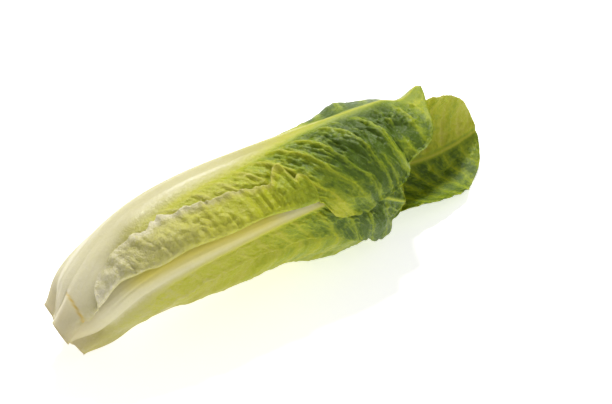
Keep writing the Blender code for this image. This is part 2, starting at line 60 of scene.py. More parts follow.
# %% Smooth curves
def smooth_curve(knots, x):
    """A curve through (x, value) knots with no overshoot: cubic Hermite pieces with limited slopes."""
    kx, ky = np.array(knots, float).T
    step = np.diff(kx)
    rise = np.diff(ky) / step
    slope = np.concatenate([[rise[0]], (rise[:-1] + rise[1:]) / 2, [rise[-1]]])
    for i, r in enumerate(rise):
        limit = 3.0 * abs(r)
        slope[i] = np.clip(slope[i], -limit, limit)
        slope[i + 1] = np.clip(slope[i + 1], -limit, limit)
    x = np.clip(np.asarray(x, float), kx[0], kx[-1])
    i = np.clip(np.searchsorted(kx, x, side="right") - 1, 0, len(step) - 1)
    t = (x - kx[i]) / step[i]
    h = step[i]
    return (ky[i] * (1 + 2 * t) * (1 - t) ** 2 + ky[i + 1] * t * t * (3 - 2 * t)
            + slope[i] * h * t * (1 - t) ** 2 - slope[i + 1] * h * t * t * (1 - t))


def smoothstep(low, high, x):
    """0 below low, 1 above high and 3t^2 - 2t^3 between. With low above high it falls instead."""
    t = np.clip((np.asarray(x, float) - low) / (high - low), 0, 1)
    return t * t * (3 - 2 * t)


# %% Seeded patterns
def wobble(x, seed, pitch):
    """A wandering value from -1 to 1: three sines with seeded phases, the first of this pitch."""
    draw = np.random.default_rng(seed)
    total = 0.0
    for share, ratio in ((0.55, 1.0), (0.3, 1.73), (0.15, 2.61)):
        total = total + share * np.sin(2 * np.pi * x * ratio / pitch + draw.uniform(0, 2 * np.pi))
    return total


def cloud(x, y, seed):
    """Smooth random values from -1 to 1: draws on a lattice one unit apart, blended by 3t^2 - 2t^3."""
    draw = np.random.default_rng(seed).uniform(-1, 1, (64, 64))
    i, j = np.floor(x).astype(int), np.floor(y).astype(int)
    s, t = smoothstep(0, 1, x - i), smoothstep(0, 1, y - j)
    low = draw[i % 64, j % 64] * (1 - s) + draw[(i + 1) % 64, j % 64] * s
    high = draw[i % 64, (j + 1) % 64] * (1 - s) + draw[(i + 1) % 64, (j + 1) % 64] * s
    return low * (1 - t) + high * t


def blisters(x, y, seed):
    """Domes with seams between them. One seeded point lies in each unit square. With the distances
    d1 and d2 to the nearest two, the dome is 1 - d1^2 and the seams are where d2 - d1 is near 0."""
    draw = np.random.default_rng(seed).uniform(0.12, 0.88, (64, 64, 2))
    i, j = np.floor(x).astype(int), np.floor(y).astype(int)
    first, second = np.full(x.shape, 9.0), np.full(x.shape, 9.0)
    for a in (-1, 0, 1):
        for b in (-1, 0, 1):
            point = draw[(i + a) % 64, (j + b) % 64]
            away = np.hypot(i + a + point[..., 0] - x, j + b + point[..., 1] - y)
            second = np.minimum(second, np.maximum(first, away))
            first = np.minimum(first, away)
    return np.clip(1 - first ** 2, 0, 1), second - first


print("blister pattern, mean dome:", blisters(*np.mgrid[:9.0, :9.0], 1)[0].mean())

# %% [markdown]
# ## The head's axis
# A real head bends a little as it lies. Places on it are told by three numbers: the station, in
# millimetres along the bent axis from the cut butt, the bearing, in degrees round the axis from the
# top, and the radius from the axis. Straight x, y and z would need the bend in every formula.

# %% Axis and places
AXIS_KNOTS = (
    (0, -2.5, 14.6),
    (12, -1.3, 21.4),
    (30, 0.6, 29.2),
    (50, 1.8, 33.4),
    (85, 3, 35.5),
    (130, 3.2, 35.5),
    (180, 2.4, 35.9),
    (225, 1, 34.6),
    (270, -0.5, 32),
)
GIRTH = ((0, 9.6), (12, 13.6), (25, 17.6), (38, 22), (52, 26), (84, 30.2), (126, 31.8),
         (175, 32.6), (207, 32.8), (235, 32.4), (262, 31.5), (275, 30.5), (292, 29))


def axis_table():
    """The head's axis as a dense table: arc length, points, and unit tangent, up and side vectors."""
    knots = np.array(AXIS_KNOTS)
    x = np.linspace(knots[0, 0], knots[-1, 0] + 25.0, 900)
    y = smooth_curve(knots[:, [0, 1]], x)
    z = smooth_curve(knots[:, [0, 2]], x)
    soft = np.hanning(61) / np.hanning(61).sum()
    pad = len(soft) // 2
    rows = []
    for value in (y, z):
        ends = np.concatenate([value[0] - (value[pad:0:-1] - value[0]), value, np.full(pad, value[-1])])
        rows.append(np.convolve(ends, soft, "valid"))
    points = np.stack([x, *rows], 1)
    length = np.concatenate([[0.0], np.cumsum(np.linalg.norm(np.diff(points, axis=0), axis=1))])
    tangent = np.gradient(points, length, axis=0)
    tangent /= np.linalg.norm(tangent, axis=1)[:, None]
    up = np.array([0.0, 0.0, 1.0]) - tangent * tangent[:, 2:3]
    up /= np.linalg.norm(up, axis=1)[:, None]
    return length, points, tangent, up, np.cross(up, tangent)


AXIS = axis_table()


def along_axis(values, station):
    return np.stack([np.interp(station, AXIS[0], values[:, k]) for k in range(3)], -1)


def place(station, bearing, radius):
    """World points, in millimetres, from station, bearing in degrees and radius."""
    angle = np.radians(bearing)
    before = np.minimum(station, 0.0)[..., None]
    return (along_axis(AXIS[1], station) + before * along_axis(AXIS[2], station)
            + radius[..., None] * (np.cos(angle)[..., None] * along_axis(AXIS[3], station)
                                   - np.sin(angle)[..., None] * along_axis(AXIS[4], station)))


def girth(station):
    return smooth_curve(GIRTH, station)


print("axis length:", round(float(AXIS[0][-1]), 1), "mm")

# %% [markdown]
# ## What is already packed
# A new leaf has to lie over all that is inside it. A cloth simulation could press the leaves
# together, but a table is quicker and never lets them cross: for each station and bearing it holds
# the radius that is filled so far. A leaf follows a smoothed copy of that table, a hair outside it.

# %% The table of filled radii
STATION_STEP = 1.5
STATIONS = 202
BEARING_STEP = 2.0
BEARINGS = 180
CLEARANCE = 0.4


def head_coordinates(points):
    """Station, bearing in degrees and radius of world points: the reverse of place()."""
    station = points[..., 0].copy()
    for _ in range(5):
        along = along_axis(AXIS[2], station)
        base = along_axis(AXIS[1], station) + np.minimum(station, 0.0)[..., None] * along
        station = station + ((points - base) * along).sum(-1)
    offset = points - base
    up = (offset * along_axis(AXIS[3], station)).sum(-1)
    sideways = (offset * along_axis(AXIS[4], station)).sum(-1)
    return station, np.degrees(np.arctan2(-sideways, up)), np.hypot(up, sideways)


def widest(grid, cells):
    """The largest value within this many cells each way, round the head and along it."""
    best = grid.copy()
    for k in range(-cells, cells + 1):
        best = np.maximum(best, np.roll(grid, k, axis=1))
    padded = np.pad(best, ((cells, cells), (0, 0)), "edge")
    return np.max([padded[k:k + len(grid)] for k in range(2 * cells + 1)], axis=0)


def averaged(grid):
    """Each value shared with its neighbours, round the head and along it."""
    round_it = (np.roll(grid, 1, 1) + 2 * grid + np.roll(grid, -1, 1)) / 4
    padded = np.pad(round_it, ((1, 1), (0, 0)), "edge")
    return (padded[:-2] + 2 * padded[1:-1] + padded[2:]) / 4


def read_grid(grid, station, bearing):
    """The table's value at any place, by a cubic B-spline, so that the surface has no creases."""
    a = np.clip(np.asarray(station) / STATION_STEP, 0, STATIONS - 1.001)
    b = np.asarray(bearing) / BEARING_STEP
    i, j = np.floor(a).astype(int), np.floor(b).astype(int)
    weights = []
    for t in (a - i, b - j):
        weights.append(((1 - t) ** 3 / 6, (3 * t ** 3 - 6 * t ** 2 + 4) / 6,
                        (-3 * t ** 3 + 3 * t ** 2 + 3 * t + 1) / 6, t ** 3 / 6))
    total = 0.0
    for m in range(4):
        row = np.clip(i + m - 1, 0, STATIONS - 1)
        for n in range(4):
            total = total + weights[0][m] * weights[1][n] * grid[row, (j + n - 1) % BEARINGS]
    return total


def pack_in(filled, points):
    """Notes in the table how far out each of these points reaches."""
    station, bearing, radius = head_coordinates(points)
    row = np.clip(np.round(station / STATION_STEP).astype(int), 0, STATIONS - 1)
    column = np.round(bearing / BEARING_STEP).astype(int) % BEARINGS
    np.maximum.at(filled, (row, column), radius)


# %% [markdown]
# ## Meshes with their own measures
# A thin leaf is a closed sheet: an inner and an outer grid of points, joined by a rim. Each point
# also carries measures for the materials, such as how much it is rib or vein. Kept as mesh
# attributes, they follow the leaf wherever it bends, which a pattern in space would not.


# %% Closed sheets
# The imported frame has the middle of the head's box at x = y = 0, so head millimetres are shifted.
TO_FRAME = np.array([-139.545, -4.037, 0.0])


def into_scene(name, data):
    made = bpy.data.objects.new(name, data)
    bpy.context.scene.collection.objects.link(made)
    return made


def add_piece(name, points, faces, measures, material):
    """Makes a mesh from points in head millimetres, with its measures, and lets it ride on the head."""
    mesh = bpy.data.meshes.new(name)
    mesh.from_pydata(((points + TO_FRAME) * MM).tolist(), [], faces.tolist())
    for measure, values in measures.items():
        layer = mesh.attributes.new(measure, "FLOAT", "POINT")
        layer.data.foreach_set("value", np.ascontiguousarray(values, dtype=np.float32).ravel())
    mesh.materials.append(material)
    mesh.shade_smooth()
    piece = into_scene(name + "_fine", mesh)
    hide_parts(name)
    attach(piece, "root")
    print(name, len(points), "points,", 2 * len(faces), "triangles")
    return piece


def sheet_faces(rows, columns):
    """Quads of the outer grid, of the inner grid turned over, and of the rim between their borders."""
    count = rows * columns
    index = np.arange(count).reshape(rows, columns)
    quads = np.stack([index[:-1, :-1], index[:-1, 1:], index[1:, 1:], index[1:, :-1]], -1).reshape(-1, 4)
    border = np.concatenate([index[0, :-1], index[:-1, -1], index[-1, :0:-1], index[:0:-1, 0]])
    following = np.roll(border, -1)
    rim = np.stack([border, following, following + count, border + count], 1)
    return np.concatenate([quads + count, quads[:, ::-1], rim])


# %% [markdown]
# ## How a leaf is told
# Each leaf is told by a few measured curves along its length: the bearing of its midrib, the width
# of its two half-blades, and the width and depth of its rib. A row of points crosses the leaf at
# each step. Rows bend forwards away from the rib, as side veins do, so the tip closes evenly.


# %% The facts of one leaf
@dataclass
class Leaf:
    """Where a leaf grows, its outline, its rib, its relief and its green, in millimetres and degrees.
    Curves are knots by the share of the leaf's length, but bearing and the painted glow of light under
    the flap go by station, and scar by bearing. Bulges, hollows and tints are bells: station, bearing,
    two widths and a height."""
    name: str
    root: float
    length: float
    bearing: tuple
    loft: float
    near: tuple
    far: tuple
    tip_start: float
    tip_power: float
    rib_half: tuple
    rib_depth: tuple
    ruffle: float
    ruffle_pitch: float
    seed: int
    vein_starts: tuple
    vein_height: float
    green: tuple
    lean: tuple = ((0, 0.9), (0.6, 0.8), (0.8, 0.5), (1, 0.1))
    crumple: float = 0.7
    blister: float = 0.5
    blister_pitch: float = 5.0
    rows: int = 100
    columns: int = 48
    slant: float = 0.14
    bulges: tuple = ()
    fold: tuple = ()
    hollows: tuple = ()
    scar: tuple = ()
    slot: str = "pale_leaf"
    sink: float = 0.9
    calm_far: float = 1.0
    margin_calm: float = 0.5
    pale_far: float = 0.0
    spread: int = 3
    calm_until: float = -360.0
    vein_pale: float = 0.14
    ruffle_from: float = 0.12
    relief_run: tuple = ((0, 1), (1, 1))
    shoulder: float = 7.0
    tints: tuple = ()
    # Painted light: the far and near half-blades made darker or lighter for how the light falls on them.
    painted_side_light: tuple = (0.0, 0.0)
    # Painted light: a yellow glow of light through a turned-back flap, laid on the shade under it.
    painted_flap_glow: tuple = ()
    rib_pale: tuple = ((0, 1), (0.45, 0.95), (0.62, 0.7), (0.75, 0.4), (0.88, 0.22), (1, 0.1))


# %% Outline and fold
# The cut through the butt slants, stands out at one bearing and is rounded off at another.
CUT_TILT = 0.26
CUT_BEARING = 150.0
CUT_REACH = 22.0
CUT_BULGE = 2.6
CUT_BULGE_BEARING = 38.0
CUT_BULGE_WIDTH = 48.0
CUT_ROUNDING = 3.0
CUT_ROUNDING_BEARING = 130.0
CUT_ROUNDING_WIDTH = 38.0
FULL_CUT_RADIUS = 12.0
# Shares of a half-blade's columns that end before the fold and round it, then millimetres past it.
FOLD_AT = 0.5
TURN_AT = 0.72
FULL_TURN = 4.0
LEAST_PAST = 3.2
WAVE_DEPTH = 0.045
TEETH = 0.4
LEAST_WIDTH = 0.8


def cut_station(bearing, radius):
    """How far the slanting cut through the butt lies from station 0 at this place. One side of it
    stands out by a bell of the bearing, and the side by the ground is rounded off by another."""
    slant = -CUT_TILT * radius * np.cos(np.radians(bearing - CUT_BEARING))
    out = (bearing - CUT_BULGE_BEARING + 180.0) % 360.0 - 180.0
    down = (bearing - CUT_ROUNDING_BEARING + 180.0) % 360.0 - 180.0
    rounded = CUT_ROUNDING * np.exp(-(down / CUT_ROUNDING_WIDTH) ** 2)
    standing = CUT_BULGE * np.exp(-(out / CUT_BULGE_WIDTH) ** 2)
    return slant + (rounded - standing) * np.minimum(radius / FULL_CUT_RADIUS, 1.0) ** 2


def half_width(leaf, q, side):
    """Distance from the midrib to the margin, measured round the head. It closes at the tip in a
    superellipse, waves slowly, and has fine teeth a millimetre or two apart."""
    width = np.where(side > 0, smooth_curve(leaf.near, q), smooth_curve(leaf.far, q))
    share = np.clip((q - leaf.tip_start) / (1 - leaf.tip_start), 0, 1)
    closing = np.maximum(1 - share ** leaf.tip_power, 0.0) ** (1 / leaf.tip_power)
    along = q * leaf.length + 40.0 * side
    depth = np.where((side > 0) & bool(leaf.fold), 0.0, WAVE_DEPTH) * smoothstep(0.25, 0.45, q)
    waves = 1 + depth * wobble(along, leaf.seed + 7, 34.0)
    teeth = cloud(along / 5.0, 0 * q, leaf.seed) + 0.6 * cloud(along / 1.9, 0 * q, 2)
    teeth = TEETH * smoothstep(0.1, 0.3, q) * teeth
    return np.maximum(width * closing * waves + teeth * smoothstep(2.0, 12.0, width * closing), LEAST_WIDTH)


def folded_arc(leaf, q, share, width):
    """Where a half-blade's columns lie when its margin is turned back outwards over the blade.
    Up to the fold line the columns are even. Past it the sheet runs round a half circle and lies
    back. Gives the place round the head, the height above the blade, the length of sheet from the
    midrib, the angle by which the sheet has turned, and where the flap covers the blade."""
    line, flap, radius = leaf.fold
    back = smooth_curve(flap, q)
    scallops = 0.9 * cloud(q * leaf.length / 5.5, 0 * q, 31) + 0.7 * cloud(q * leaf.length / 2.1, 0 * q, 32)
    back = np.maximum(back + scallops * smoothstep(2.0, 7.0, back), 0.0)
    turn = np.pi * smoothstep(0.0, FULL_TURN, back)
    start = np.minimum(smooth_curve(line, q), np.where(back > 0.01, 1e3, 0.94 * width))
    beyond = np.where(back > 0.01, np.maximum(radius * turn + back, LEAST_PAST), width - start)
    flat = beyond * np.clip((share - FOLD_AT) / (1 - FOLD_AT), 0, 1)
    arc_part = np.minimum(radius * np.pi, 0.7 * beyond)
    round_it = arc_part * np.clip((share - FOLD_AT) / (TURN_AT - FOLD_AT), 0, 1)
    round_it = round_it + (beyond - arc_part) * np.clip((share - TURN_AT) / (1 - TURN_AT), 0, 1)
    past = flat + (round_it - flat) * turn / np.pi
    before = start * np.minimum(share / FOLD_AT, 1.0)
    angle = np.minimum(past / radius, turn)
    rest = np.maximum(past - radius * turn, 0.0)
    sideways = radius * np.sin(angle) + rest * np.cos(turn)
    height = radius * (1 - np.cos(angle)) + rest * np.sin(turn)
    covered = smoothstep(-4.0, 1.0, before - start + back) * (share <= FOLD_AT) * smoothstep(0.5, 3.0, back)
    return before + sideways, height, before + past, angle, covered


def row_reach(leaf, u, q):
    """How far along the leaf a row has got: rows bend forwards away from the midrib."""
    across = np.minimum(np.abs(u), np.where((u > 0) & bool(leaf.fold), FOLD_AT, 1.0))
    bend = leaf.slant * across ** 1.3 * smoothstep(0.03, 0.35, q) * smoothstep(1.0, 0.5, q)
    return np.clip(q + bend, 0, 1)


# %% [markdown]
# ## Relief
# On the back of a lettuce leaf, which is the face that shows on a head, the side veins stand proud
# and the blade between them puffs and crumples. A bump map would do for a distant head. Here the
# surface itself is moved, so that the hollows throw shadows and the outline wrinkles too.


# %% Bells, side veins and crumples
def bells(spots, station, bearing):
    """The sum of height * exp(-(ds/along)^2 - (db/around)^2) over the spots, ds and db from each one."""
    total = np.zeros_like(station)
    for s, b, along, around, height in spots:
        turn = (bearing - b + 180.0) % 360.0 - 180.0
        total = total + height * np.exp(-((station - s) / along) ** 2 - (turn / around) ** 2)
    return total


def vein_measures(leaf, station, past_rib, side):
    """Each side vein leaves the rib at a listed station and leans forwards. Sliding a point back
    along the lean gives its start. The vein's strength is exp(-(d/w)^2), with d the distance to the
    nearest listed start and w falling from 1.3 mm at the rib towards 0.5 mm."""
    slope = smooth_curve(leaf.lean, (station - leaf.root) / leaf.length)
    start = station - leaf.root - slope * past_rib - 1.2 * wobble(past_rib + 9.0 * side, leaf.seed + 3, 31.0)
    starts = np.array(leaf.vein_starts)
    place_in = np.clip(np.searchsorted(starts, start), 1, len(starts) - 1)
    below, above = start - starts[place_in - 1], starts[place_in] - start
    away = np.minimum(np.abs(below), np.abs(above)) / np.sqrt(1 + slope ** 2)
    width = 0.5 + 0.8 * np.exp(-past_rib / 14.0)
    between = np.clip(below / np.maximum(below + above, 0.1), 0, 1)
    return start, np.exp(-(away / width) ** 2), np.sin(np.pi * between) ** 2


# %% [markdown]
# ## One leaf as a sheet
# u runs across the leaf from -1 at the far margin over 0 at the rib to 1 at the near margin, and q
# runs from 0 at the butt to 1 at the tip. For each pair the sheet gives a station, a bearing and a
# radius, and from these come the two faces. What is known at each point is kept together under
# the name at, so that the relief and the measures for the material come from the same numbers.


# %% Where the sheet lies before its relief
BLADE_THICKNESS = 0.6
MARGIN_DROP = 0.1
WIDE = 45.0
HIDDEN_CALM = 0.6
BUTT_CLOSE = 0.75
BUTT_ROUND = 0.35
BUTT_ROUND_REACH = 4.5


def lay_out(leaf, cover, u, q):
    """Station and bearing of each point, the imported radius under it, and the loft from there up to
    the head's girth: 0.5 (gap + sqrt(gap^2 + 1)), which stays above 0 where no gap is left."""
    at = SimpleNamespace(u=u, across=np.abs(u), side=np.where(u >= 0, 1.0, -1.0))
    at.reach = row_reach(leaf, u, q)
    at.station = station = leaf.root + leaf.length * at.reach
    at.width = half_width(leaf, at.reach, at.side)
    none = np.zeros_like(u)
    plain = (at.width * at.across, none, at.width * at.across, none, none)
    if leaf.fold:
        bent = folded_arc(leaf, at.reach, at.across, at.width)
        plain = [np.where(at.side > 0, new, old) for new, old in zip(bent, plain)]
    arc, at.lift, at.from_mid, at.turned, at.covered = plain
    around = girth(station) * leaf.loft
    at.bearing = smooth_curve(leaf.bearing, station) + np.degrees(at.side * arc / around)
    at.under = read_grid(cover, station, at.bearing)
    at.flap = smoothstep(0.7, 2.6, at.turned)
    at.rib = smooth_curve(leaf.rib_half, at.reach)
    at.on_blade = smoothstep(-1.0, leaf.shoulder, at.from_mid - at.rib)
    at.strength = smooth_curve(leaf.relief_run, at.reach)
    hidden = smoothstep(leaf.calm_until, leaf.calm_until - 20.0, at.bearing)
    at.calm = np.where(at.side > 0, 1.0, leaf.calm_far + (HIDDEN_CALM - leaf.calm_far) * hidden)
    gap = around * (1 - MARGIN_DROP * (arc / WIDE).clip(0, 1) ** 2) - at.under
    gap = gap - leaf.sink * at.on_blade * at.calm * smoothstep(0.1, 0.4, at.reach)
    close = 1 - BUTT_CLOSE * (leaf.root < 1.0) * smoothstep(16.0, 0.0, station)
    at.loft = 0.5 * (gap + np.sqrt(gap ** 2 + 1.0)) * close
    past_rib = np.maximum(at.from_mid - at.rib, 0.0)
    at.start, at.vein, at.sunk = vein_measures(leaf, station, past_rib, at.side)
    return at


# %% Relief of the blade and of the turned-back margin
def blade_relief(leaf, at):
    """Veins + crumples + a net of blister seams, calmed down towards the margin. Also gives how
    much of this relief a place may have."""
    from_mid, start, seed = at.from_mid, at.start, leaf.seed
    long_way = from_mid / 6.5 + at.station / 24.0
    at.folds = 1 - np.abs(cloud(long_way, start / 4.2, seed + 40)) * 1.8
    fine = 1 - np.abs(cloud(from_mid / 5.0 + 3.0, start / 1.9, seed + 41)) * 1.7
    warp = 0.5 * cloud(from_mid / 6.0, start / 5.0, seed + 45)
    pitch = leaf.blister_pitch
    dome, at.seam = blisters(from_mid / pitch + warp, start / (0.6 * pitch) + warp, seed + 50)
    small, at.small_seam = blisters(from_mid / 2.4, start / 1.8, seed + 51)
    net = np.exp(-(at.seam / 0.3) ** 2) - 0.5 * dome
    fine_net = np.exp(-(at.small_seam / 0.3) ** 2) - 0.5 * small
    blade = at.on_blade * (1 - at.flap) * at.strength * (1 - 0.85 * at.covered)
    blade = blade * smoothstep(0.06, 0.2, at.reach)
    outer = np.clip(from_mid / np.maximum(at.width, 1.0), 0, 1)
    blade = blade * (1 - leaf.margin_calm * smoothstep(0.38, 0.72, outer) * smoothstep(0.55, 0.63, at.reach))
    fade = 0.35 + 0.65 * smoothstep(0.12, 0.4, at.reach)
    relief = blade * (leaf.vein_height * (at.vein * (1 - 0.6 * at.across) + 0.3 * (1 - at.sunk)) * fade
                      + leaf.crumple * (0.8 * at.folds + 0.75 * fine) * (0.35 + 0.65 * at.sunk)
                      + leaf.blister * (net * smoothstep(0.3, 0.6, at.reach) + 0.25 * fine_net))
    return relief, blade


def flap_relief(leaf, at):
    """On the turned-back margin: puffs - creases + specks, unevenly, + a slow swell + pleats."""
    from_mid, station, seed = at.from_mid, at.station, leaf.seed
    bent_way = 0.6 * cloud(station / 6.0, from_mid / 6.0, seed + 57)
    puffs, creases = blisters(from_mid / 4.2 + bent_way, station / 3.6 + bent_way, seed + 52)
    specks, _ = blisters(from_mid / 1.9, station / 1.8, seed + 53)
    uneven = 0.65 + 0.55 * cloud(station / 7.0, from_mid / 6.0, seed + 55)
    swell = 0.8 * cloud(station / 9.0, from_mid / 12.0, seed + 54)
    pleats = 1 - 1.8 * np.abs(cloud(station / 2.7 + 0.12 * from_mid, from_mid / 11.0, seed + 56))
    puffed = at.flap * smoothstep(0.05, 0.15, at.reach)
    return puffed * (uneven * (1.4 * puffs - 0.7 * np.exp(-(creases / 0.25) ** 2) + 0.9 * specks)
                     + swell + pleats)


# %% The measures that the material reads
SCAR_WIDTH = 0.55
# Width in degrees of the painted glow of light in the shade under the flap.
PAINTED_FLAP_GLOW_WIDTH = 9.0


def stripe(facts, fade, along, across, width):
    """A bell across a line, exp(-(d/width)^2), that fades out at both ends of the line."""
    if not facts:
        return np.zeros_like(along)
    line, low, high = facts
    run = smoothstep(low, low + fade, along) * smoothstep(high, high - fade, along)
    return run * np.exp(-((across - smooth_curve(line, along)) / width) ** 2)


def look_measures(leaf, at, deep):
    """How green each point is, with painted side light in it, and how much it is rib, vein, painted hollow
    shade, flap, margin, painted flap glow, scar and cut.
    """
    reach, off_flap = at.reach, 1 - at.flap
    pale_reach = 1 + np.where(at.side < 0, leaf.pale_far, 0.0) * smoothstep(185.0, 160.0, at.station)
    green = smooth_curve(leaf.green, reach) + bells(leaf.tints, at.station, at.bearing)
    green = green + at.flap * (0.14 * smoothstep(40.0, 110.0, at.station) - 0.15)
    # Painted light: each half-blade lighter or darker for how the light falls on it.
    side_light = np.where(at.side > 0, leaf.painted_side_light[1], leaf.painted_side_light[0])
    green = green + side_light * smoothstep(0.5, 3.0, at.from_mid)
    nets = (0.7 * np.exp(-(at.seam / 0.14) ** 2) * (1 - at.vein)
            + 0.4 * np.exp(-(at.small_seam / 0.2) ** 2))
    veins = leaf.vein_pale * at.on_blade * (at.vein * (1 - 0.4 * at.across) + nets) * off_flap
    midline = 0.4 * np.exp(-(at.from_mid / 0.8) ** 2) * smoothstep(0.5, 0.75, reach)
    # Painted shade: the sunk panels between the veins and the deep hollows are darkened.
    hollow_shade = at.sunk * at.on_blade * (0.9 - at.folds * 0.5) * off_flap - 0.4 * deep
    return {
        "rib": (smoothstep(1.35, 0.55, at.from_mid / at.rib / pale_reach) * off_flap
                * smooth_curve(leaf.rib_pale, reach)),
        "vein": veins + midline,
        "green": green,
        "hollow_shade": np.clip(hollow_shade * np.minimum(1.2 * at.strength, 1.0), 0, 1),
        # Painted light: the yellow glow of light through the flap, on the shade under its edge.
        "painted_flap_glow": stripe(leaf.painted_flap_glow, 20, at.station, at.bearing, PAINTED_FLAP_GLOW_WIDTH),
        "flap": at.flap,
        "margin": smoothstep(0.9, 1.0, at.across) * smoothstep(0.1, 0.3, reach),
        "scar": stripe(leaf.scar, 8, at.bearing, at.station, SCAR_WIDTH),
        "cut": np.maximum(smoothstep(2.2, 0.0, at.station), 0.5 * smoothstep(26.0, 4.0, at.station)),
    }


# %% The sheet: radius, thickness and measures
PEAK = 5.5
SKIN_GAP = 0.12


def ruffles(leaf, at):
    """The margin's waves = ruffle * across^2.5 * wave, and a crinkle along its very edge."""
    # The seed is the whole grid of sides, so one draw serves both margins.
    wave = 0.5 + 0.5 * wobble(at.station, leaf.seed + 20 + (at.u > 0) * 3, leaf.ruffle_pitch)
    ruffled = smoothstep(leaf.ruffle_from, leaf.ruffle_from + 0.23, at.reach) * smoothstep(2, 24, at.width)
    edge = smoothstep(0.82, 1.0, at.across) * smoothstep(0.1, 0.3, at.reach)
    crinkle = 0.5 + 0.5 * wobble(at.station, leaf.seed + 29, 8.5)
    return (leaf.ruffle * at.across ** 2.5 * wave * ruffled * at.calm
            + edge * at.calm * crinkle * (0.8 + 1.0 * at.flap))


def leaf_sheet(leaf, cover, u, q):
    """Radius = packed surface + loft + relief, where high relief is pressed down to
    PEAK * tanh(relief / PEAK). The thickness rises from the blade's to the rib's by a dome."""
    at = lay_out(leaf, cover, u, q)
    relief, blade = blade_relief(leaf, at)
    deep = bells(leaf.hollows, at.station, at.bearing) * (1 - at.flap)
    relief = np.maximum(relief + flap_relief(leaf, at) + deep + 1.2 * blade, 0.0) * at.calm
    relief = PEAK * np.tanh(relief / PEAK) + ruffles(leaf, at)
    grain = 0.12 * cloud(at.from_mid * at.side / 1.1, at.station / 38.0, leaf.seed + 60)
    grain = grain * smoothstep(at.rib + 2, at.rib - 3, at.from_mid)
    bulge = bells(leaf.bulges, at.station, at.bearing)
    at.radius = at.under + at.loft + relief + at.lift + grain + SKIN_GAP + bulge
    measures = look_measures(leaf, at, deep)
    dome_of_rib = np.clip(1 - (at.from_mid / (1.2 * at.rib)) ** 2, 0.0, None) ** 1.5
    depth = smooth_curve(leaf.rib_depth, at.reach)
    thickness = BLADE_THICKNESS + np.maximum(depth - BLADE_THICKNESS, 0.0) * dome_of_rib
    rounding = BUTT_ROUND * (leaf.root < 1.0) * np.exp(-(at.station / BUTT_ROUND_REACH) ** 2)
    at.thickness = thickness * (1 - rounding) - 0.5 * measures["scar"]
    at.at_butt = smoothstep(CUT_REACH, 0.0, at.station) * (leaf.root < 1.0)
    return at, measures


# %% Both faces, and growing a leaf over what is packed
NORMAL_ROUNDS = 8
LEAST_ON_FLOOR = 0.3
TIP_FROM = 0.9
BODY_ROWS = 0.87
FAR_COLUMNS = 0.4
NEAR_COLUMNS = 0.36
FLAP_COLUMNS = 0.17
TURN_COLUMNS = 11


def leaf_faces(leaf, cover, u, q):
    """The inner grid, and the outer one a thickness away along the normal: the cross product of the
    grid's two directions, averaged across each row by (left + 2 * here + right) / 4 so that a thick
    rib doesn't fold over its own grooves, and eased into the plain outward direction round the fold
    and at the tip."""
    at, measures = leaf_sheet(leaf, cover, u, q)
    station, bearing, radius, turned = at.station, at.bearing, at.radius, at.turned
    cut = cut_station(bearing, radius)
    inner = place(station + cut * at.at_butt, bearing, radius)
    normal = np.cross(np.gradient(inner, axis=1), np.gradient(inner, axis=0))
    normal /= np.linalg.norm(normal, axis=-1)[..., None]
    for _ in range(NORMAL_ROUNDS):
        normal[:, 1:-1] = (normal[:, :-2] + 2 * normal[:, 1:-1] + normal[:, 2:]) / 4
    outward = place(station, bearing, radius + 1.0) - place(station, bearing, radius)
    round_it = place(station, bearing + 0.5, radius) - place(station, bearing - 0.5, radius)
    round_it /= np.linalg.norm(round_it, axis=-1)[..., None]
    outward = np.cos(turned)[..., None] * outward - np.sin(turned)[..., None] * round_it
    plainly = np.maximum(smoothstep(0.9, 0.95, at.reach), smoothstep(0.0, 0.3, turned))
    normal = normal + (outward - normal) * plainly[..., None]
    normal /= np.linalg.norm(normal, axis=-1)[..., None]
    slide = (cut_station(bearing, radius + at.thickness) - cut) * at.at_butt
    outer = inner + normal * at.thickness[..., None] + slide[..., None] * along_axis(AXIS[2], station)
    inner[..., 2] = np.maximum(inner[..., 2], LEAST_ON_FLOOR)
    outer[..., 2] = np.maximum(outer[..., 2], 0.0)
    return inner, outer, measures


def rows_and_columns(leaf):
    """Even rows that crowd together at the tip, and even columns. On a folded half they come in
    three even runs: before the fold, round it and on the flap."""
    body = np.linspace(0, TIP_FROM, int(leaf.rows * BODY_ROWS))
    quarter = np.linspace(0, np.pi / 2, leaf.rows - len(body) + 1)[1:]
    rows = np.concatenate([body, TIP_FROM + (1 - TIP_FROM) * np.sin(quarter)])
    half = np.linspace(0, 1, leaf.columns // 2 + 1)
    if not leaf.fold:
        return rows, np.concatenate([-half[:0:-1], half])
    near = np.concatenate([np.linspace(0, FOLD_AT, int(leaf.columns * NEAR_COLUMNS))[1:],
                           np.linspace(FOLD_AT, TURN_AT, TURN_COLUMNS)[1:],
                           np.linspace(TURN_AT, 1, int(leaf.columns * FLAP_COLUMNS))[1:]])
    return rows, np.concatenate([np.linspace(-1, 0, int(leaf.columns * FAR_COLUMNS)), near])


def grow(leaf, filled, material):
    """Wraps the leaf over what is packed, adds it to the table and makes its mesh."""
    cover = widest(filled, leaf.spread)
    for _ in range(2 * leaf.spread):
        cover = averaged(cover)
    cover = cover + CLEARANCE
    rows, columns = rows_and_columns(leaf)
    u, q = np.meshgrid(columns, rows)
    inner, outer, measures = leaf_faces(leaf, cover, u, q)
    pack_in(filled, outer)
    points = np.concatenate([inner.reshape(-1, 3), outer.reshape(-1, 3)])
    both = {name: np.concatenate([value.ravel(), value.ravel()]) for name, value in measures.items()}
    return add_piece(leaf.name, points, sheet_faces(*u.shape), both, material)


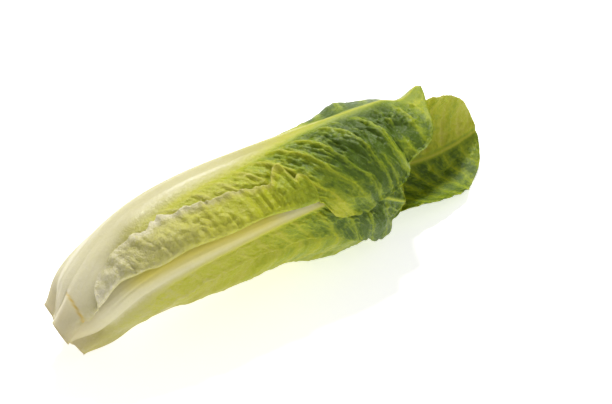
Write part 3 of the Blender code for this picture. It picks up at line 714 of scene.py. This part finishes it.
# %% [markdown]
# ## The look of a leaf
# Lettuce is waxy outside and wet inside, and thin enough for light to pass through. One Principled
# shader does this with a little subsurface scattering. Its colour comes from one ramp, from the
# blanched white of the butt to the dark green of an outer blade. How far along the ramp a point
# lies is worked out from the measures: ribs and veins are paler than the blade, and hollows are
# darker by painted shade.


# %% Colours and a small node helper
def linear(red, green, blue):
    """A colour read from a screen, 0 to 255, as the linear values that a shader takes."""
    share = np.array([red, green, blue]) / 255
    curved = np.where(share <= 0.04045, share / 12.92, ((share + 0.055) / 1.055) ** 2.4)
    return (*[float(value) for value in curved], 1.0)


LEAF_GREENS = (
    (0.00, linear(224, 217, 188)),
    (0.18, linear(190, 184, 116)),
    (0.36, linear(188, 186, 70)),
    (0.52, linear(176, 181, 32)),
    (0.68, linear(146, 161, 23)),
    (0.84, linear(118, 138, 18)),
    (1.00, linear(78, 102, 6)),
)


class Recipe:
    """A material under construction: adds nodes and links them."""

    def __init__(self, name):
        self.material = bpy.data.materials.new(name)
        self.material.use_nodes = True
        self.tree = self.material.node_tree
        self.shader = self.tree.nodes["Principled BSDF"]

    def node(self, kind, settings=(), **inputs):
        node = self.tree.nodes.new(kind)
        for name, value in dict(settings).items():
            setattr(node, name, value)
        for name, value in inputs.items():
            self.feed(node.inputs[int(name[1:])], value)
        return node

    def settle(self, values):
        for socket, value in values.items():
            self.shader.inputs[socket].default_value = value

    def feed(self, socket, value):
        if hasattr(value, "links"):
            self.tree.links.new(value, socket)
        else:
            socket.default_value = value

    def sum_up(self, kind, a, b):
        return self.node("ShaderNodeMath", {"operation": kind}, _0=a, _1=b).outputs[0]

    plus = partialmethod(sum_up, "ADD")
    minus = partialmethod(sum_up, "SUBTRACT")
    times = partialmethod(sum_up, "MULTIPLY")

    def measure(self, name):
        return self.node("ShaderNodeAttribute", {"attribute_name": name}).outputs["Fac"]

    def noise(self, scale, detail):
        where = self.node("ShaderNodeTexCoord").outputs["Object"]
        noise = self.node("ShaderNodeTexNoise")
        for socket, value in (("Vector", where), ("Scale", scale), ("Detail", detail)):
            self.feed(noise.inputs[socket], value)
        return noise.outputs["Fac"]

    def ramp(self, value, stops):
        node = self.node("ShaderNodeValToRGB", {}, _0=value)
        for k, (position, colour) in enumerate(stops):
            stop = node.color_ramp.elements[k] if k < 2 else node.color_ramp.elements.new(position)
            stop.position = position
            stop.color = colour
        return node.outputs["Color"]

    def mix(self, share, first, second):
        node = self.tree.nodes.new("ShaderNodeMix")
        node.data_type = "RGBA"
        for place_in, value in ((0, share), (6, first), (7, second)):
            self.feed(node.inputs[place_in], value)
        return node.outputs[2]


# %% The leaf material
OVERLAYS = (
    ("cut", 0.6, linear(184, 162, 104)),
    ("scar", 0.8, linear(214, 180, 56)),
    # Painted light: the yellow glow of light through the flap, laid on the shade under it.
    ("painted_flap_glow", 0.75, linear(216, 202, 62)),
)
SURFACE = {
    "Subsurface Weight": 0.3,
    "Subsurface Radius": (1.0, 1.0, 0.35),
    "Subsurface Scale": 0.001,
    "Specular IOR Level": 0.38,
    "IOR": 1.42,
}


def leaf_tone(make, rib, depth):
    """Place on the ramp = depth * green * (1 - 0.78 rib) * (1 - vein) + 0.3 hollow_shade * green + mottle,
    less (0.08 + 0.16 flap) * margin, where the hollow term is painted shade in the hollows.
    depth is how deep the green of this leaf runs, as a share."""
    green = make.measure("green")
    off_rib = make.minus(1.0, make.times(rib, 0.78))
    tone = make.times(make.times(green, depth), off_rib)
    tone = make.times(tone, make.minus(1.0, make.measure("vein")))
    # Painted shade: the hollows are moved towards the dark end of the ramp.
    tone = make.plus(tone, make.times(make.times(make.measure("hollow_shade"), 0.3), green))
    mottle = make.times(make.minus(make.noise(160.0, 3.0), 0.5), 0.16)
    speckle = make.times(make.minus(make.noise(700.0, 2.0), 0.5), 0.2)
    tone = make.plus(tone, make.times(make.plus(mottle, speckle), off_rib))
    at_edge = make.plus(make.times(make.measure("flap"), 0.16), 0.08)
    return make.minus(tone, make.times(make.measure("margin"), at_edge))


def leaf_material(name, depth):
    """The green, then the cut end, the scar and the painted glow of light in the shade under the flap
    over it, and pores off the rib.
    """
    make = Recipe(name)
    rib = make.measure("rib")
    colour = make.ramp(leaf_tone(make, rib, depth), LEAF_GREENS)
    for measure, share, over in OVERLAYS:
        colour = make.mix(make.times(make.measure(measure), share), colour, over)
    make.feed(make.shader.inputs["Base Color"], colour)
    make.feed(make.shader.inputs["Roughness"], make.plus(make.times(make.noise(420.0, 2.0), 0.2), 0.27))
    bump = make.node("ShaderNodeBump")
    bump.inputs["Strength"].default_value = 0.75
    bump.inputs["Distance"].default_value = 0.0006
    pores = make.plus(make.noise(1500.0, 3.0), make.times(make.noise(450.0, 3.0), 1.6))
    make.feed(bump.inputs["Height"], make.times(pores, make.minus(1.0, make.times(rib, 0.85))))
    make.feed(make.shader.inputs["Normal"], bump.outputs["Normal"])
    make.settle(SURFACE)
    return make.material


OUTER_LOOK = leaf_material("outer_leaf_waxy_green", 1.0)
INNER_LOOK = leaf_material("inner_leaf_blanched", 0.8)
print("materials:", OUTER_LOOK.name, INNER_LOOK.name)

# %% [markdown]
# ## The core and the hidden leaves
# The stem inside the butt is a short turned shape, cut at a slant like the leaf bases round it. It
# is made first, because the leaves wrap over it. The small leaves of the heart come next, from the
# innermost outwards. They need few points, because only slivers of them ever show.

# %% The core
CORE_RADIUS = 6.2
CORE_LENGTH = 50.0
CORE_TIP_RADIUS = 2.2
CORE_SIDES = 72


def core_radius(station):
    """A quarter-ellipse from the butt's radius to the blunt growing tip: r0 + (r1 - r0) sqrt(1 - t^2)."""
    share = np.clip(station / CORE_LENGTH, 0, 1)
    return np.where(station > CORE_LENGTH, 0.0,
                    CORE_TIP_RADIUS + (CORE_RADIUS - CORE_TIP_RADIUS) * np.sqrt(1 - share ** 2))


def make_core(material):
    """Rings from the middle of the cut face out to its edge, along the side and in to the tip."""
    face = np.linspace(0, 1, 10)[1:]
    along = CORE_LENGTH * np.sin(np.linspace(0, np.pi / 2, 30))
    station = np.concatenate([0 * face, along[1:], [CORE_LENGTH] * 3])
    full = core_radius(station) - CLEARANCE
    scale = np.concatenate([face, np.ones(len(along) - 1), [0.7, 0.4, 0.15]])
    bearing, ring = np.meshgrid(np.linspace(0, 360, CORE_SIDES, endpoint=False), np.arange(len(station)))
    radius = (full * scale)[ring]
    angle = np.radians(bearing)
    dried = 0.35 * cloud(np.cos(angle) * radius / 1.5 + 9, np.sin(angle) * radius / 1.5 + 9, 5)
    on_face = (ring < len(face)) * 1.0
    at_butt = smoothstep(CUT_REACH, 0.0, station)[ring]
    s = station[ring] + cut_station(bearing, radius) * at_butt + dried * on_face
    points = place(s, bearing, radius)
    ends = np.stack([points[0].mean(0), points[-1].mean(0)])
    index = np.arange(bearing.size).reshape(bearing.shape)
    after = np.roll(index, -1, 1)
    sides = np.stack([index[:-1], after[:-1], after[1:], index[1:]], -1).reshape(-1, 4)
    first, last = bearing.size, bearing.size + 1
    caps = [[first, b, a] for a, b in zip(index[0].tolist(), after[0].tolist())]
    caps = caps + [[last, a, b] for a, b in zip(index[-1].tolist(), after[-1].tolist())]
    faces = sides.tolist() + caps
    measures = {
        "green": np.concatenate([np.full(bearing.size, 0.12), [0.12, 0.12]]),
        "cut": np.concatenate([(0.45 + 0.55 * scale[ring] ** 3).ravel() * on_face.ravel(), [0.3, 0.0]]),
    }
    points = np.concatenate([points.reshape(-1, 3), ends])
    return add_piece("core", points, np.array(faces, dtype=object), measures, material)


# %% [markdown]
# ## The leaves, from the heart outwards
# Every real romaine leaf differs, so each one has its own row of facts. The four outer leaves are
# read from the photograph, station by station. The nine inside them are ordinary wrapped leaves,
# each turned on from the one before by a little over a third of a circle, as they grow.

# %% Ribs and outlines
INNER_RIB = ((0, 6), (0.25, 6.5), (0.6, 3.5), (1, 0.8))
INNER_DEPTH = ((0, 1.4), (0.3, 2.4), (0.7, 1.4), (1, 0.8))
MIDDLE_RIB = ((0, 10), (0.25, 9.5), (0.6, 5), (1, 1))
MIDDLE_DEPTH = ((0, 1.6), (0.3, 3.2), (0.7, 1.8), (1, 0.8))
OUTER_RIB = ((0, 12.5), (0.12, 16), (0.28, 13), (0.6, 6.5), (0.8, 2.2), (1, 0.7))
UNDER_RIB = ((0, 12.5), (0.12, 16), (0.28, 14.5), (0.65, 12), (0.86, 6), (1, 1))
UNDER_DEPTH = ((0, 2.8), (0.15, 4.6), (0.35, 6.1), (0.68, 6.3), (0.86, 3.4), (1, 0.9))
OUTER_DEPTH = ((0, 2.8), (0.12, 4.2), (0.35, 4.4), (0.7, 2.4), (1, 0.9))


def plain_outline(width):
    """Half of a leaf: a narrow base and the widest place two thirds of the way up."""
    return ((0, 0.30 * width), (0.15, 0.42 * width), (0.4, 0.80 * width), (0.66, width),
            (0.85, 0.97 * width), (1, 0.9 * width))


def small_leaf(name, root, length, bearing, loft, width, seed, green):
    """A wrapped leaf of the heart, told by its size and place alone."""
    starts = tuple(float(s) for s in np.arange(10, length, 13))
    return Leaf(name=name, root=root, length=length, loft=loft,
                bearing=((0, bearing), (270, bearing + 8)),
                near=plain_outline(width), far=plain_outline(width * 0.94), tip_start=0.8, tip_power=2.4,
                rib_half=INNER_RIB if width < 30 else MIDDLE_RIB,
                rib_depth=INNER_DEPTH if width < 30 else MIDDLE_DEPTH,
                ruffle=2.6, ruffle_pitch=13, ruffle_from=0.7, seed=seed,
                vein_starts=starts, vein_height=0.9, crumple=0.6, blister=0.6,
                relief_run=((0, 0.25), (0.7, 0.3), (0.85, 1.1), (1, 1.1)),
                green=((0, 0.1), (0.5, green), (1, 0.32 + green)),
                rows=100 if width < 42 else 130, columns=48 if width < 42 else 64,
                slot="heart_leaf" if width < 40 else "pale_leaf")


# %% The thirteen leaves
LEAVES = (
    small_leaf("heart_leaf_1", 44, 84, 40, 0.16, 13, 1, 0.2),
    small_leaf("heart_leaf_2", 41, 102, 178, 0.28, 22, 2, 0.2),
    small_leaf("inner_leaf_1", 38, 118, 315, 0.40, 29, 3, 0.2),
    small_leaf("inner_leaf_2", 35, 132, 93, 0.50, 36, 4, 0.2),
    small_leaf("inner_leaf_3", 32, 144, 231, 0.59, 41, 5, 0.3),
    small_leaf("middle_leaf_1", 28, 166, 18, 0.67, 45, 6, 0.3),
    small_leaf("middle_leaf_2", 25, 160, 122, 0.74, 48, 7, 0.3),
    small_leaf("middle_leaf_3", 22, 182, 292, 0.80, 50, 8, 0.3),
    small_leaf("middle_leaf_4", 18, 176, 206, 0.85, 50, 9, 0.3),
    Leaf(name="far_leaf", root=0, length=288,
         bearing=((0, 252), (90, 236), (200, 222), (250, 222), (270, 226),
                  (290, 234)), loft=0.92,
         near=((0, 7), (0.15, 18), (0.4, 34), (0.66, 44), (0.85, 46), (1, 42)),
         far=((0, 7), (0.15, 18), (0.4, 34), (0.66, 42), (0.8, 41), (0.9, 36), (1, 28)),
         tip_start=0.80, tip_power=2.1, bulges=((262, 222, 40, 100, 3),), rib_half=OUTER_RIB,
         rib_depth=OUTER_DEPTH, ruffle=2.2, ruffle_pitch=30, seed=10,
         vein_starts=(20, 46, 70, 92, 112, 131, 149, 167, 184, 200, 214, 227, 240, 252, 264, 276),
         vein_height=1.4, green=((0, 0.1), (0.2, 0.35), (0.5, 0.6), (0.75, 0.8), (1, 0.78)),
         rows=300, columns=92, slot="green_leaf",
         # Painted light: the near half is painted lighter and the far half darker.
         sink=2.2, shoulder=3, ruffle_from=0.7, painted_side_light=(0.08, -0.27), calm_far=0.9, vein_pale=0.3,
         relief_run=((0, 0.4), (0.7, 0.5), (0.85, 1.1), (1, 0.7))),
    Leaf(name="under_leaf", root=0, length=196,
         bearing=((0, 172), (70, 180), (150, 180), (262, 176)), loft=0.95,
         near=((0, 8), (0.15, 18), (0.4, 34), (0.66, 42), (0.85, 42), (1, 40)),
         far=((0, 8), (0.15, 20), (0.3, 44), (0.5, 54), (0.75, 52), (0.85, 42), (1, 38)),
         tip_start=0.84, tip_power=2.4, rib_half=UNDER_RIB, rib_depth=UNDER_DEPTH,
         ruffle=1, ruffle_pitch=30, seed=11,
         vein_starts=(20, 42, 62, 80, 97, 113, 128, 142, 156, 170, 184), vein_height=1,
         green=((0, 0.05), (0.3, 0.3), (0.6, 0.5), (1, 0.72)), rows=190, columns=84,
         sink=2.2, relief_run=((0, 0.6), (1, 0.8))),
    Leaf(name="front_leaf", root=0, length=199,
         bearing=((0, 80), (20, 70), (45, 61), (84, 58), (133, 57), (165, 62),
                  (199, 92)), loft=0.96,
         near=((0, 9), (0.1, 17), (0.22, 21), (0.32, 20), (0.48, 18), (0.65, 19),
               (0.75, 21), (0.88, 29), (0.95, 31), (1, 29)),
         far=((0, 8), (0.2, 16), (0.4, 34), (0.66, 44), (0.85, 42), (1, 30)),
         tip_start=0.88, tip_power=3.2, rib_half=((0, 7), (0.1, 9), (0.22, 9.6), (0.42, 7.5),
                                                  (0.66, 4.6), (0.85, 2.6), (1, 1.2)),
         rib_depth=OUTER_DEPTH, ruffle=1.2, ruffle_pitch=26, margin_calm=0.85, seed=12,
         vein_starts=(16, 34, 50, 65, 79, 92, 104, 116, 128, 143, 158, 172, 186), vein_height=0.8,
         green=((0, 0.3), (0.1, 0.26), (0.3, 0.4), (0.55, 0.55), (0.75, 0.8), (0.9, 1.05), (1, 1)),
         rows=230, columns=90, spread=5, sink=2.6, shoulder=3,
         crumple=0.6, blister=1.5, blister_pitch=6.5, vein_pale=0.3,
         relief_run=((0, 0.15), (0.5, 0.2), (0.68, 0.4), (0.8, 1.1), (0.93, 1.1), (1, 0.5)),
         # Painted light: a yellow glow along the shade under the top leaf's flap.
         painted_flap_glow=(((0, 60), (45, 56), (84, 56), (133, 55), (165, 57)), 28, 132),
         rib_pale=((0, 1), (0.7, 1), (0.82, 0.5), (1, 0.1))),
    Leaf(name="top_leaf", root=0, length=242,
         bearing=((0, 0), (30, -10), (50, -24), (100, -29), (150, -30),
                  (200, -22), (222, -29), (242, -38)),
         loft=1,
         near=((0, 10.5), (0.05, 13.5), (0.08, 17), (0.1, 26), (0.3, 48), (0.58, 50.2), (0.6, 50.2),
               (0.615, 54.5), (0.63, 59), (0.66, 61), (0.7, 61), (0.75, 57), (0.81, 52),
               (0.843, 47), (0.88, 43), (0.913, 41), (0.93, 38), (0.95, 30), (0.963, 20),
               (1, 1.5)),
         far=((0, 10), (0.15, 18), (0.4, 38), (0.66, 50), (0.8, 46), (0.87, 34), (0.92, 21),
              (0.96, 10), (1, 1.5)),
         tip_start=0.999, tip_power=2,
         rib_half=((0, 11), (0.12, 18), (0.175, 15.5), (0.26, 15), (0.36, 14), (0.47, 12.5),
                   (0.6, 9), (0.68, 5.5), (0.8, 2.8), (1, 0.8)),
         rib_depth=OUTER_DEPTH, ruffle=1.6, ruffle_pitch=24, seed=13,
         vein_starts=(18, 36, 52, 67, 81, 94, 108, 121, 134, 145, 164, 173, 188, 203, 215, 227),
         vein_height=2.2,
         green=((0, 0.14), (0.1, 0.18), (0.15, 0.27), (0.3, 0.4), (0.45, 0.5), (0.55, 0.64),
                (0.66, 0.84), (0.8, 0.94), (0.93, 0.84), (1, 0.76)),
         crumple=1.9, blister=1.3, blister_pitch=7.5, margin_calm=0.8, rows=300, columns=150,
         slot="green_leaf", spread=7, sink=4.2, calm_far=0.15, calm_until=-60, vein_pale=0.26,
         # Painted light: the far half is painted a little darker.
         painted_side_light=(0.02, 0),
         relief_run=((0, 0.3), (0.2, 0.5), (0.5, 0.6), (0.62, 1.1), (0.85, 1.1), (0.95, 0.5), (1, 0.3)),
         tints=((152, 72, 13, 17, -0.34), (232, -25, 12, 30, -0.12),
                (205, 45, 10, 16, -0.12), (172, 36, 9, 12, 0.12)),
         lean=((0, 0.9), (0.6, 0.78), (0.72, 0.78), (0.8, 0.4), (1, 0.1)),
         hollows=((209, 15, 5.5, 10, -3.4), (204, -5, 4.5, 8, -2.4),
                  (181, -1, 4, 12, -2.6), (186, 18, 4.5, 9, -2.6),
                  (166, 24, 4, 10, -1.6), (188, 32, 4, 8, -1.8),
                  (216, 29, 3.5, 8, -1.8), (174, 35, 3.5, 9, -1.6)),
         scar=(((5, 16), (36, 13.5), (75, 10)), 2, 62), slant=0.2, pale_far=1,
         bulges=((205, -50, 24, 26, 5), (192, -52, 9, 20, 3),
                 (224, -30, 9, 40, -3), (240, -38, 6, 30, 3)),
         fold=(((0, 9), (0.05, 11.5), (0.09, 14.5), (0.14, 19), (0.17, 25), (0.19, 28.8),
                (0.21, 32.6), (0.277, 37.4), (0.364, 42), (0.463, 43.2), (0.558, 46.3), (0.61, 47),
                (0.64, 49), (0.7, 50), (1, 50)),
               ((0, 0), (0.055, 0), (0.085, 2.4), (0.125, 5.2), (0.165, 9), (0.19, 11),
                (0.252, 16), (0.31, 15), (0.41, 14), (0.446, 13), (0.5, 12), (0.525, 17.5),
                (0.542, 18.3), (0.555, 11), (0.566, 12.3), (0.578, 11), (0.587, 6), (0.592, 2.5),
                (0.598, 0), (1, 0)),
               2.2)),
)

# %% Grow them all
filled = np.repeat(core_radius(np.arange(STATIONS) * STATION_STEP)[:, None], BEARINGS, axis=1)
make_core(INNER_LOOK)
for leaf in LEAVES:
    grow(leaf, filled, OUTER_LOOK if leaf.slot == "green_leaf" or leaf.root == 0.0 else INNER_LOOK)

# %% [markdown]
# ## Floor, light and camera
# The head lies on a plain white surface in soft light that comes mostly from above and behind, so
# that the top of the head is brightest. Lamps in boxes could give it. Here one large soft sun does,
# a faint one from the front and an even white sky. The floor glows a little, which keeps its shadow
# pale. The camera is a long lens that looks down from the near side, with the butt at the lower left.

# %% Floor
def make_floor():
    """A large plain sheet at z = 0."""
    mesh = bpy.data.meshes.new("floor")
    mesh.from_pydata([(-3, -3, 0), (3, -3, 0), (3, 3, 0), (-3, 3, 0)], [], [(0, 1, 2, 3)])
    make = Recipe("white_surface")
    make.settle({"Base Color": (0.93, 0.93, 0.93, 1.0), "Roughness": 0.6,
                 "Emission Color": (1.0, 1.0, 1.0, 1.0), "Emission Strength": 0.6})
    mesh.materials.append(make.material)
    into_scene("floor", mesh)


make_floor()

# %% Camera
AZIMUTH = math.radians(-33.0)
ELEVATION = math.radians(38.0)
LENS = 100.0
SENSOR = 36.0
DISTANCE = 0.908
PIXEL = 0.327 / 612
AIM = Vector((-0.017, -0.0025, 0.034))
OFF_CENTRE = (44.0, 14.0)

level = math.cos(ELEVATION)
back = Vector((math.sin(AZIMUTH) * level, -math.cos(AZIMUTH) * level, math.sin(ELEVATION)))
right = Vector((math.cos(AZIMUTH), math.sin(AZIMUTH), 0.0))
up = back.cross(right)
lens = bpy.data.cameras.new("camera")
lens.lens = LENS
lens.sensor_width = SENSOR
camera = into_scene("camera", lens)
aside = right * OFF_CENTRE[0] * PIXEL + up * OFF_CENTRE[1] * PIXEL
camera.location = AIM + aside + back * DISTANCE
camera.rotation_euler = (-back).to_track_quat("-Z", "Y").to_euler()
bpy.context.scene.camera = camera
print("camera at", [round(v, 3) for v in camera.location])


# %% Light
def add_sun(name, direction, strength, spread, colour):
    """A sun that shines from this direction, with soft shadows of this spread in degrees."""
    data = bpy.data.lights.new(name, "SUN")
    data.energy = strength
    data.angle = math.radians(spread)
    data.color = colour
    into_scene(name, data).rotation_euler = direction.to_track_quat("Z", "Y").to_euler()


add_sun("window_above", up * 0.95 + right * 0.03 + back * 0.02, 3.2, 9.0, (1.0, 0.99, 0.96))
add_sun("soft_front", up * 0.2 + right * 0.4 + back * 0.8, 0.3, 60.0, (1.0, 1.0, 1.0))
world = bpy.data.worlds.new("studio")
world.use_nodes = True
world.node_tree.nodes["Background"].inputs["Color"].default_value = (1.0, 1.0, 1.0, 1.0)
world.node_tree.nodes["Background"].inputs["Strength"].default_value = 0.38
bpy.context.scene.world = world
bpy.context.scene.view_settings.view_transform = "Standard"
